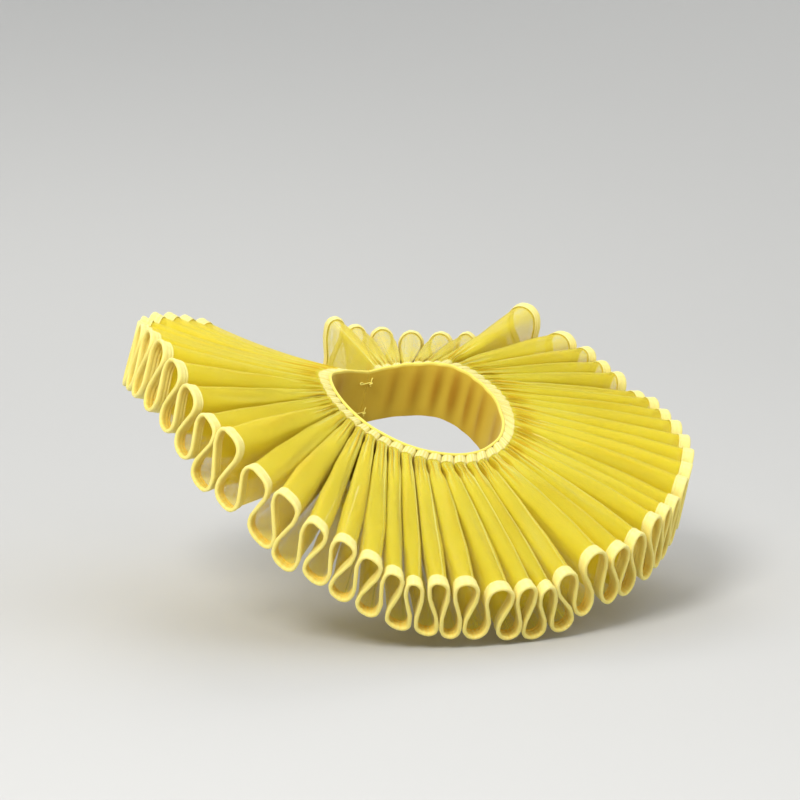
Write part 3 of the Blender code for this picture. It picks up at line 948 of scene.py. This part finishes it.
def stitchTree():
    # short stitches at an even pitch along each line that comes in
    tree = bpy.data.node_groups.new("runningStitches", "GeometryNodeTree")
    tree.is_modifier = True
    tree.interface.new_socket("Geometry", in_out="INPUT", socket_type="NodeSocketGeometry")
    for title in ("pitch", "length", "thickness", "uneven"):
        tree.interface.new_socket(title, in_out="INPUT", socket_type="NodeSocketFloat")
    tree.interface.new_socket("seed", in_out="INPUT", socket_type="NodeSocketInt")
    tree.interface.new_socket("Geometry", in_out="OUTPUT", socket_type="NodeSocketGeometry")
    nodes, link = tree.nodes, tree.links.new
    given, made = nodes.new("NodeGroupInput"), nodes.new("NodeGroupOutput")
    curve = nodes.new("GeometryNodeMeshToCurve")
    link(given.outputs["Geometry"], curve.inputs[0])
    spaced = nodes.new("GeometryNodeResampleCurve")
    spaced.mode = "LENGTH"
    link(curve.outputs[0], spaced.inputs["Curve"])
    link(given.outputs["pitch"], spaced.inputs["Length"])
    turned = nodes.new("FunctionNodeAlignRotationToVector")
    turned.axis = "Z"
    link(nodes.new("GeometryNodeInputTangent").outputs[0], turned.inputs["Vector"])
    size = nodes.new("ShaderNodeCombineXYZ")
    for axis, title in enumerate(("thickness", "thickness", "length")):
        link(given.outputs[title], size.inputs[axis])
    share = nodes.new("FunctionNodeRandomValue")
    share.data_type = "FLOAT"
    least, most = share.inputs[2:4]
    link(mathNode(tree, "SUBTRACT", 1.0, given.outputs["uneven"]), least)
    most.default_value = 1.0
    link(given.outputs["seed"], share.inputs["Seed"])
    uneven = nodes.new("ShaderNodeVectorMath")
    uneven.operation = "SCALE"
    link(size.outputs[0], uneven.inputs[0])
    link(share.outputs[1], uneven.inputs["Scale"])
    bead = nodes.new("GeometryNodeMeshIcoSphere")
    bead.inputs["Radius"].default_value = 0.5
    bead.inputs["Subdivisions"].default_value = 1
    placed = nodes.new("GeometryNodeInstanceOnPoints")
    link(spaced.outputs[0], placed.inputs["Points"])
    link(bead.outputs[0], placed.inputs["Instance"])
    link(turned.outputs[0], placed.inputs["Rotation"])
    link(uneven.outputs[0], placed.inputs["Scale"])
    real = nodes.new("GeometryNodeRealizeInstances")
    link(placed.outputs[0], real.inputs[0])
    painted = nodes.new("GeometryNodeSetMaterial")
    painted.inputs["Material"].default_value = threadMaterial
    link(real.outputs[0], painted.inputs[0])
    link(painted.outputs[0], made.inputs["Geometry"])
    return tree


runningStitches = stitchTree()


def asMesh(name, drawn):
    # the plain mesh of what an object's modifiers or curve make; the object itself goes
    mesh = bpy.data.meshes.new_from_object(drawn.evaluated_get(bpy.context.evaluated_depsgraph_get()))
    bpy.data.objects.remove(drawn)
    mesh.name = name
    mesh.shade_smooth()
    return mesh


def stitches(name, width, distance, height):
    # a row on each face of the cloth, at this distance out from the seam
    places = placesOf(width, binding["columnsPerFold"])[2:-2]       # clear of the width's ends
    rows, normals = foldedRows(places, [distance])
    points = np.concatenate([rows[0] + normals[0] * height, rows[0] - normals[0] * height])
    count = len(places)
    lines = [(i, i + 1) for i in range(2 * count - 1) if i != count - 1]
    guide = bpy.data.meshes.new(name + "Line")
    guide.from_pydata(points.tolist(), lines, [])
    thread = placeObject(name + "Line", guide)
    sewn = thread.modifiers.new("stitches", "NODES")
    sewn.node_group = runningStitches
    for item in runningStitches.interface.items_tree:
        if item.in_out == "INPUT" and item.name in stitching:
            sewn[item.identifier] = stitching[item.name]
    piece = placeObject(name, asMesh(name, thread))
    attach(piece, "root")
    return piece


for width in range(ruff["widths"]):
    number = width + 1
    cloth = netWidth(width)
    tape = foldedTape(f"edgeBinding{number}", width, binding, ruff["depth"], 1, tapeMaterial)
    heads = foldedTape(f"neckTape{number}", width, neckTape, neckTape["start"], -1, headMaterial)
    for piece, node, slot in ((cloth, "ruff_width", "net"), (tape, "edge_tape", "tape"),
                              (heads, "neck_tape", "tape")):
        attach(piece, "root")
        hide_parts(f"{node}_{number}")
    inward, off = stitching["edgeLine"]
    edgeSewing = stitches(f"edgeStitches{number}", width, ruff["depth"] - inward, off)
    neckSewing = stitches(f"neckStitches{number}", width, *stitching["neckLine"])
    print(f"width {number} gathered, bound and taped")

band = {
    "height": 0.045,
    "wall": 0.0012,
    "foot": 0.0012,             # height at which its lower edge starts to round off
    "rimRadius": 0.0011,
    "rimOut": 0.0005,           # its top edge is folded out over the pleats
    "rimTurn": 0.6,             # radians that the rim's round goes on past level
    "rimSpan": 2.2,             # rim radii from the top at which the walls end
    "wallRings": 7,
    "rimRings": 9,
    "endHeading": 179.75,
    "columns": 260,
    "inset": 0.00105,
    "footShare": 0.6,           # how much of its wall is left at the lower edge
    "hollowSpan": 0.8,          # share of a half wave that the folds' depth goes through from foot to top
    "hollowFrom": 0.2,          # radians into that wave at the foot
    # painted shade over the band's inner face and a painted highlight on its outer face and rim
    "innerPaintedShade": -0.45,
    "hollowPaintedShade": 250,          # painted shade deepening in the inner folds, for a metre of depth
    "outerPaintedHighlight": 0.6,
}
bandFolds = (                   # heading, width in degrees, depth: soft upright folds inside
    (-150, 14, 0.0016), (-96, 18, 0.0010), (-58, 12, 0.0012), (-20, 16, 0.0008), (24, 14, 0.0010),
    (66, 12, 0.0014), (88, 7, 0.0018), (101, 6, 0.0022), (114, 8, 0.0026), (128, 7, 0.0022),
    (143, 9, 0.0018), (160, 8, 0.0014),
)
closure = {
    "heights": (-0.0125, 0.0125),   # up and down from the band's middle
    "wire": 0.00040,
    "roundness": 3,
    # across the centre back, up, and off the band's inner face
    "hook": ((-0.0042, 0.0008, 0.0005), (-0.0060, 0.0022, 0.0005), (-0.0078, 0.0016, 0.0005),
             (-0.0074, 0.0003, 0.0006), (-0.0040, 0.0004, 0.0007), (0.0020, 0.0005, 0.0008),
             (0.0036, 0.0002, 0.0011), (0.0038, 0.0, 0.0019), (0.0022, 0.0, 0.0024),
             (0.0004, 0.0, 0.0020)),
    "loop": ((0.0044, -0.0034, 0.0), (0.0030, -0.0030, 0.0009), (0.0026, -0.0015, 0.0014),
             (0.0025, 0.0, 0.0015), (0.0026, 0.0015, 0.0014), (0.0030, 0.0030, 0.0009),
             (0.0044, 0.0034, 0.0)),
}


def hooksAndLoops():
    # two thread-covered hooks and worked loops that hold the band's ends together inside
    curve = bpy.data.curves.new("closureWire", "CURVE")
    curve.dimensions, curve.bevel_depth = "3D", closure["wire"]
    curve.bevel_resolution, curve.use_fill_caps = closure["roundness"], True
    inward = np.cross([1, 0, 0], neckUp)
    for height in closure["heights"]:
        for path in (closure["hook"], closure["loop"]):
            across, up, off = np.array(path).T
            points = neckRing(180 - np.degrees(across / neck["halfWidth"]), band["inset"])
            points += np.outer(up + height, neckUp) + np.outer(off + band["wall"] / 2, inward)
            line = curve.splines.new("NURBS")
            line.points.add(len(points) - 1)
            line.points.foreach_set("co", np.column_stack([points, np.ones(len(points))]).ravel())
            line.use_endpoint_u, line.order_u, line.resolution_u = True, 3, 5
    mesh = asMesh("hooksAndLoops", placeObject("closureWire", curve))
    mesh.materials.clear()
    mesh.materials.append(bandMaterial)
    piece = placeObject("hooksAndLoops", mesh)
    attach(piece, "root")
    return piece


def neckBand():
    headings = np.linspace(-band["endHeading"], band["endHeading"], band["columns"])
    high, wall, rim = band["height"], band["wall"] / 2, band["rimRadius"]
    climb = np.linspace(band["foot"], high - band["rimSpan"] * rim, band["wallRings"])
    over = np.linspace(-band["rimTurn"], pi + band["rimTurn"], band["rimRings"])
    section = [(h, wall) for h in climb]
    section += [(high - rim + rim * sin(a), band["rimOut"] + rim * cos(a)) for a in over]
    section += [(h, -wall) for h in climb[::-1]]
    section += [(0.0, -wall * band["footShare"]), (0.0, wall * band["footShare"])]
    line = neckRing(headings, band["inset"])
    out = unit(np.cross(np.gradient(line, axis=0), neckUp))
    hollow = sum(depth * np.exp(-(((headings - at) / width) ** 2) * 4)
                 for at, width, depth in bandFolds)
    rings, paintedTones = [], []
    for height, off in section:
        wave = pi * min(height / high, 1) * band["hollowSpan"] + band["hollowFrom"]
        give = hollow * sin(wave)
        rings.append(line + (height - high / 2) * neckUp + out * (off - give)[:, None])
        # the inner face gets painted shade, deeper in its folds; the outer face and rim get a painted
        # highlight
        inside = off < 0 and height < high - 2 * rim
        deep = band["innerPaintedShade"] - band["hollowPaintedShade"] * give
        paintedTones.append(deep if inside else np.full(len(line), band["outerPaintedHighlight"]))
    across = runAlong(np.array(section))
    across = np.append(across, across[-1] + wrapSeam)
    piece = sheetMesh("neckBand", rings, runAlong(line), across, bandMaterial, np.clip(paintedTones, -1, 1))
    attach(piece, "root")
    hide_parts("neckband")
    hooksAndLoops()


neckBand()
print("neckband closed")
